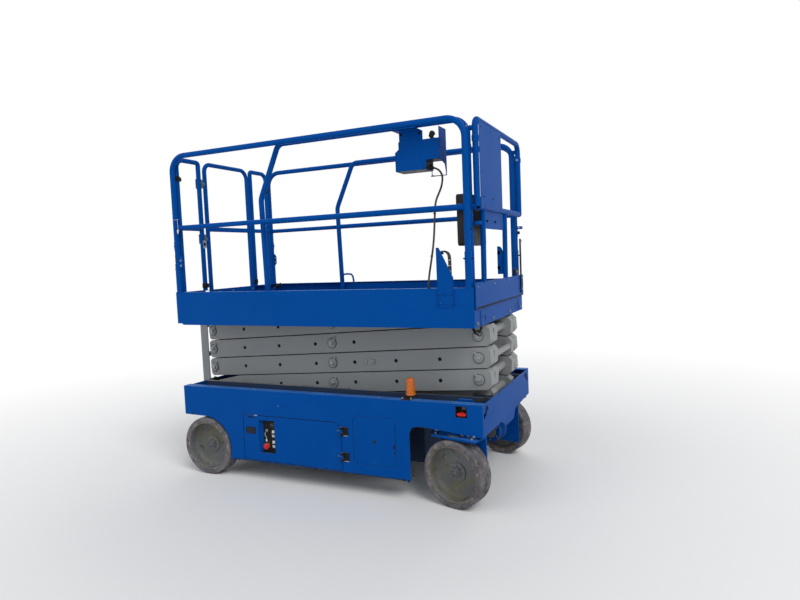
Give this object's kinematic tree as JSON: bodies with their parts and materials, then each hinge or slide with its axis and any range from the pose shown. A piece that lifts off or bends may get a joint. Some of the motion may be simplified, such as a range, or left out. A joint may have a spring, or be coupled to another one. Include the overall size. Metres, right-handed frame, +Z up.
{
  "type": "electric scissor lift",
  "caption": "Self-propelled scissor lift with folded stacked arms, railed platform with roll-out deck, swing-out side trays, steered front wheels and solid tyres.",
  "frame": {"origin": "middle of the footprint, on the ground", "axes": "+X towards the steered end, -Y towards the side with the ground controls, +Z up"},
  "size_m": [2.3812, 1.2604, 2.27],
  "materials": {
    "paint_blue": "semi-gloss enamel, lightly worn",
    "arm_grey": "satin enamel",
    "wheel_grey": "worn satin enamel",
    "tyre_grey": "non-marking solid rubber",
    "base_dark": "matt",
    "axle_grey": "matt, dusty",
    "steel": "bare",
    "chrome_rod": "polished",
    "black_plastic": "moulded",
    "black_metal": "powder coated",
    "amber": "clear moulded",
    "cable_black": "matt jacket"
  },
  "bodies": {
    "chassis": {"side_skirts": "paint_blue", "chassis_base": "base_dark", "end_panels": "paint_blue", "rear_axle": "axle_grey", "tray_hinges": "black_metal", "ladder": "arm_grey", "beacon_base": "black_plastic", "beacon_lens": "amber"},
    "platform": {"deck": "paint_blue", "deck_frame": "arm_grey", "side_rails": "paint_blue", "rails_rear": "paint_blue", "control_box": "paint_blue", "cable": "cable_black", "cable_bracket": "paint_blue", "cable_coil": "cable_black"},
    "extension": {"extension_deck": "paint_blue", "extension_rails": "paint_blue", "front_board": "paint_blue", "document_box": "black_plastic"},
    "gate": {"gate": "paint_blue"},
    "lift_barrel": {"lift_barrel": "base_dark"},
    "lift_rod": {"lift_rod": "chrome_rod"},
    "knuckle_near": {"knuckle_near": "paint_blue"},
    "knuckle_far": {"knuckle_far": "paint_blue"},
    "tie_rod": {"tie_rod": "steel"},
    "guard_near": {"guard_near": "base_dark"},
    "guard_far": {"guard_far": "base_dark"},
    "tray_near": {"door_near": "paint_blue", "tray_near": "base_dark", "ground_controls": "black_plastic"},
    "tray_far": {"door_far": "paint_blue", "tray_far": "base_dark"},
    "inner_1": {"inner_1": "arm_grey"},
    "outer_1": {"outer_1": "arm_grey"},
    "inner_2": {"inner_2": "arm_grey"},
    "outer_2": {"outer_2": "arm_grey"},
    "inner_3": {"inner_3": "arm_grey"},
    "outer_3": {"outer_3": "arm_grey"},
    "inner_4": {"inner_4": "arm_grey"},
    "outer_4": {"outer_4": "arm_grey"},
    "wheel_front_near": {"rim_front_near": "wheel_grey", "tyre_front_near": "tyre_grey"},
    "wheel_front_far": {"rim_front_far": "wheel_grey", "tyre_front_far": "tyre_grey"},
    "wheel_rear_near": {"rim_rear_near": "wheel_grey", "tyre_rear_near": "tyre_grey"},
    "wheel_rear_far": {"rim_rear_far": "wheel_grey", "tyre_rear_far": "tyre_grey"}
  },
  "joints": [
    {"name": "lift", "type": "hinge", "parent": "chassis", "child": "inner_1", "pos_m": [1.077, 0, 0.587], "axis": [0, 1, 0], "range_deg": [0, 58.4]},
    {"name": "cross_1", "type": "hinge", "parent": "inner_1", "child": "outer_1", "pos_m": [0.0492, 0, 0.65425], "axis": [0, -1, 0], "range_deg": [0, 117]},
    {"name": "stage_2", "type": "hinge", "parent": "outer_1", "child": "inner_2", "pos_m": [1.077, 0, 0.7215], "axis": [0, 1, 0], "range_deg": [0, 117]},
    {"name": "cross_2", "type": "hinge", "parent": "inner_2", "child": "outer_2", "pos_m": [0.0492, 0, 0.78875], "axis": [0, -1, 0], "range_deg": [0, 117]},
    {"name": "stage_3", "type": "hinge", "parent": "outer_2", "child": "inner_3", "pos_m": [1.077, 0, 0.856], "axis": [0, 1, 0], "range_deg": [0, 117]},
    {"name": "cross_3", "type": "hinge", "parent": "inner_3", "child": "outer_3", "pos_m": [0.0492, 0, 0.92325], "axis": [0, -1, 0], "range_deg": [0, 117]},
    {"name": "stage_4", "type": "hinge", "parent": "outer_3", "child": "inner_4", "pos_m": [1.077, 0, 0.9905], "axis": [0, 1, 0], "range_deg": [0, 117]},
    {"name": "cross_4", "type": "hinge", "parent": "inner_4", "child": "outer_4", "pos_m": [0.0492, 0, 1.05775], "axis": [0, -1, 0], "range_deg": [0, 117]},
    {"name": "platform_level", "type": "hinge", "parent": "outer_4", "child": "platform", "pos_m": [1.077, 0, 1.125], "axis": [0, 1, 0], "range_deg": [0, 59]},
    {"name": "cylinder_swing", "type": "hinge", "parent": "inner_1", "child": "lift_barrel", "pos_m": [-0.85886, 0, 0.71367], "axis": [0, -1, 0], "range_deg": [0, 122.2]},
    {"name": "cylinder_stroke", "type": "slide", "parent": "lift_barrel", "child": "lift_rod", "axis": [0.9961, 0, 0.0883], "range_m": [0, 0.5]},
    {"name": "extension_slide", "type": "slide", "parent": "platform", "child": "extension", "axis": [1, 0, 0], "range_m": [0, 0.8]},
    {"name": "gate_swing", "type": "hinge", "parent": "platform", "child": "gate", "pos_m": [-1.058, -0.268, 1.75], "axis": [0, 0, -1], "range_deg": [0, 92]},
    {"name": "steer_near", "type": "hinge", "parent": "chassis", "child": "knuckle_near", "pos_m": [0.982, -0.528, 0.43], "axis": [0, 0, 1], "range_deg": [-46, 74]},
    {"name": "steer_far", "type": "hinge", "parent": "chassis", "child": "knuckle_far", "pos_m": [0.982, 0.528, 0.43], "axis": [0, 0, 1], "range_deg": [-47, 75]},
    {"name": "tie_rod_pin", "type": "hinge", "parent": "knuckle_near", "child": "tie_rod", "pos_m": [0.85586, -0.49655, 0.445], "axis": [0, 0, 1], "range_deg": [-75, 47]},
    {"name": "roll_rear_near", "type": "hinge", "parent": "chassis", "child": "wheel_rear_near", "pos_m": [-0.868, -0.528, 0.203], "axis": [0, 1, 0], "continuous": true},
    {"name": "roll_front_near", "type": "hinge", "parent": "knuckle_near", "child": "wheel_front_near", "pos_m": [0.982, -0.528, 0.203], "axis": [0.2419, 0.9703, 0], "continuous": true},
    {"name": "tray_near_swing", "type": "hinge", "parent": "chassis", "child": "tray_near", "pos_m": [0.242, -0.595, 0.32], "axis": [0, 0, 1], "range_deg": [0, 95]},
    {"name": "guard_near_fold", "type": "hinge", "parent": "chassis", "child": "guard_near", "pos_m": [0.02, -0.565, 0.134], "axis": [-1, 0, 0], "range_deg": [0, 88]},
    {"name": "roll_rear_far", "type": "hinge", "parent": "chassis", "child": "wheel_rear_far", "pos_m": [-0.868, 0.528, 0.203], "axis": [0, 1, 0], "continuous": true},
    {"name": "roll_front_far", "type": "hinge", "parent": "knuckle_far", "child": "wheel_front_far", "pos_m": [0.982, 0.528, 0.203], "axis": [0.2419, 0.9703, 0], "continuous": true},
    {"name": "tray_far_swing", "type": "hinge", "parent": "chassis", "child": "tray_far", "pos_m": [0.242, 0.595, 0.32], "axis": [0, 0, -1], "range_deg": [0, 95]},
    {"name": "guard_far_fold", "type": "hinge", "parent": "chassis", "child": "guard_far", "pos_m": [0.02, 0.565, 0.134], "axis": [1, 0, 0], "range_deg": [0, 88]}
  ],
  "couplings": [
    {"joint": "cross_1", "follows": "lift", "ratio": 2},
    {"joint": "stage_2", "follows": "lift", "ratio": 2},
    {"joint": "cross_2", "follows": "lift", "ratio": 2},
    {"joint": "stage_3", "follows": "lift", "ratio": 2},
    {"joint": "cross_3", "follows": "lift", "ratio": 2},
    {"joint": "stage_4", "follows": "lift", "ratio": 2},
    {"joint": "cross_4", "follows": "lift", "ratio": 2},
    {"joint": "platform_level", "follows": "lift", "ratio": 1},
    {"joint": "cylinder_swing", "follows": "lift", "ratio": 2.0894},
    {"joint": "cylinder_stroke", "follows": "lift", "m_per_rad": 0.48678},
    {"joint": "steer_far", "follows": "steer_near", "ratio": 1},
    {"joint": "tie_rod_pin", "follows": "steer_near", "ratio": -1}
  ]
}
